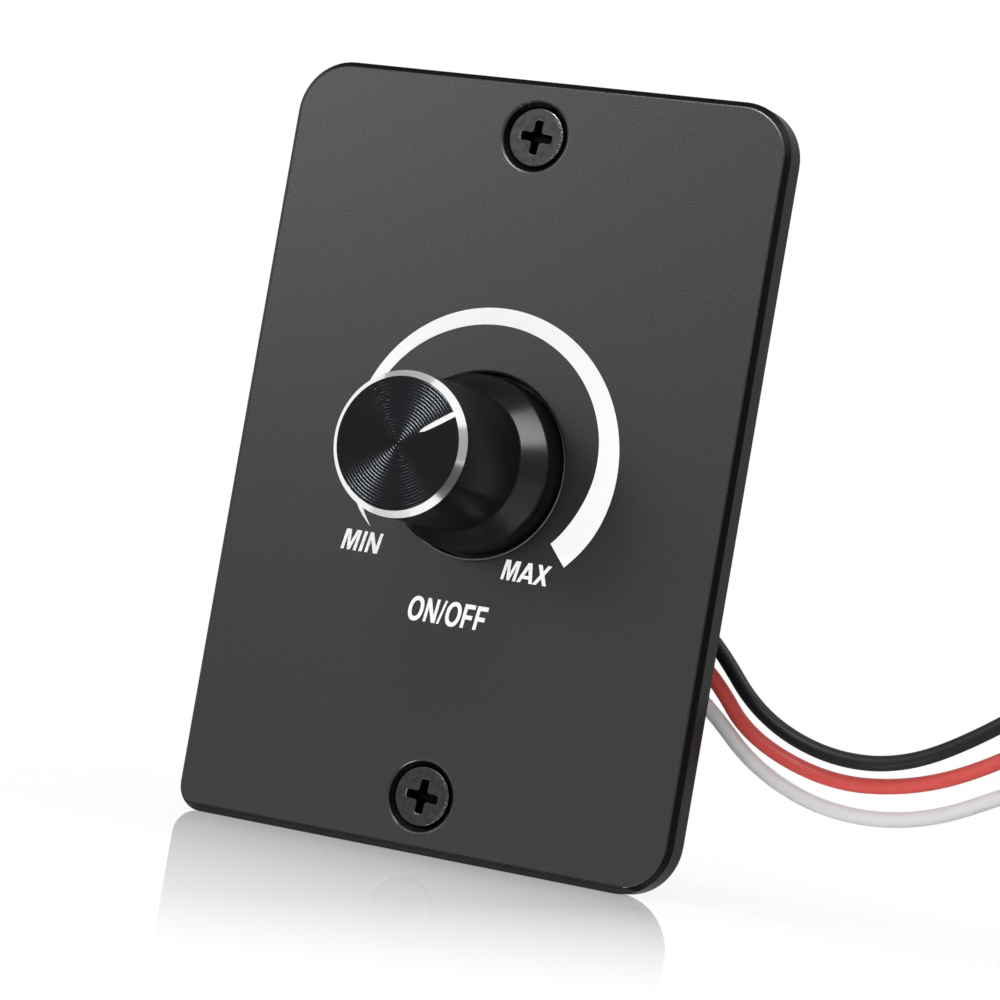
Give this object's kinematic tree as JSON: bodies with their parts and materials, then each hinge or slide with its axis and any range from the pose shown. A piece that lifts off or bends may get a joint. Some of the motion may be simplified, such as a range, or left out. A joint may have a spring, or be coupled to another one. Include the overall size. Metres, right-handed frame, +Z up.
{
  "type": "rotary dimmer",
  "caption": "Rectangular anodised wall plate with a round turn-and-press dimmer knob, printed dial, countersunk fixing screws and colour-coded leads from a housing behind it.",
  "frame": {"origin": "centre of the plate's back face, midway between the two mounting screws, on the knob's axis", "axes": "+X right and +Z up as the plate is seen on the wall, +Y into the wall along the screws"},
  "size_m": [0.1278, 0.0478, 0.09],
  "materials": {
    "anodised_plate": "black anodised, fine blasted face",
    "white_print": "screen-printed ink",
    "black_zinc_steel": "black plated",
    "anodised_knob": "turned, satin black anodised, bright cut bevel",
    "black_insert": "moulded",
    "turned_brass": "nickel flash worn, turned",
    "zinc_steel": "bright zinc plated",
    "phenolic_wafer": "laminated paper",
    "tinned_copper": "tinned",
    "phosphor_bronze": "sprung strip",
    "switch_moulding": "moulded",
    "plunger_moulding": "natural acetal",
    "spring_wire": "drawn",
    "board_laminate": "glass epoxy with solder mask",
    "capacitor_sleeve": "shrunk sleeve",
    "black_epoxy": "transfer moulded",
    "housing_moulding": "fine texture",
    "grommet_rubber": "moulded",
    "black_pvc": "extruded",
    "red_pvc": "extruded",
    "white_pvc": "extruded"
  },
  "bodies": {
    "base": {"faceplate": "anodised_plate", "dial_arc": "white_print", "mounting_screws": "black_zinc_steel", "pot_nut": "zinc_steel", "pot_washer": "zinc_steel", "pot_bushing": "zinc_steel", "pot_can": "zinc_steel", "housing_screws": "zinc_steel", "board_screws": "zinc_steel", "cover_screws": "zinc_steel", "pot_wafer": "phenolic_wafer", "pot_terminals": "tinned_copper", "switch_terminals": "tinned_copper", "lead_joints": "tinned_copper", "black_lead_end": "tinned_copper", "red_lead_end": "tinned_copper", "white_lead_end": "tinned_copper", "switch_body": "switch_moulding", "return_spring": "spring_wire", "circuit_board": "board_laminate", "filter_capacitor": "capacitor_sleeve", "power_transistor": "black_epoxy", "flyback_diode": "black_epoxy", "control_chip": "black_epoxy", "chip_resistors": "black_epoxy", "housing": "housing_moulding", "rear_cover": "housing_moulding", "wire_grommet": "grommet_rubber", "black_lead": "black_pvc", "red_lead": "red_pvc", "white_lead": "white_pvc"},
    "plunger": {"switch_plunger": "plunger_moulding", "contact_bridge": "phosphor_bronze"},
    "knob": {"knob": "anodised_knob", "knob_core": "black_insert", "pot_shaft": "turned_brass"},
    "rotor": {"wiper_rotor": "black_insert", "wiper_contact": "phosphor_bronze"}
  },
  "joints": [
    {"name": "knob_press", "type": "slide", "parent": "base", "child": "plunger", "axis": [0, 1, 0], "range_m": [0, 0.0015], "stiffness_N_per_m": 1500, "springref_m": -0.002, "deforming": ["return_spring"]},
    {"name": "knob_turn", "type": "hinge", "parent": "plunger", "child": "knob", "pos_m": [0, 0, 0], "axis": [0, 1, 0], "range_deg": [-192, 78]},
    {"name": "wiper_turn", "type": "hinge", "parent": "base", "child": "rotor", "pos_m": [0, 0, 0], "axis": [0, 1, 0], "range_deg": [-192, 78]}
  ],
  "couplings": [
    {"joint": "wiper_turn", "follows": "knob_turn", "ratio": 1}
  ]
}
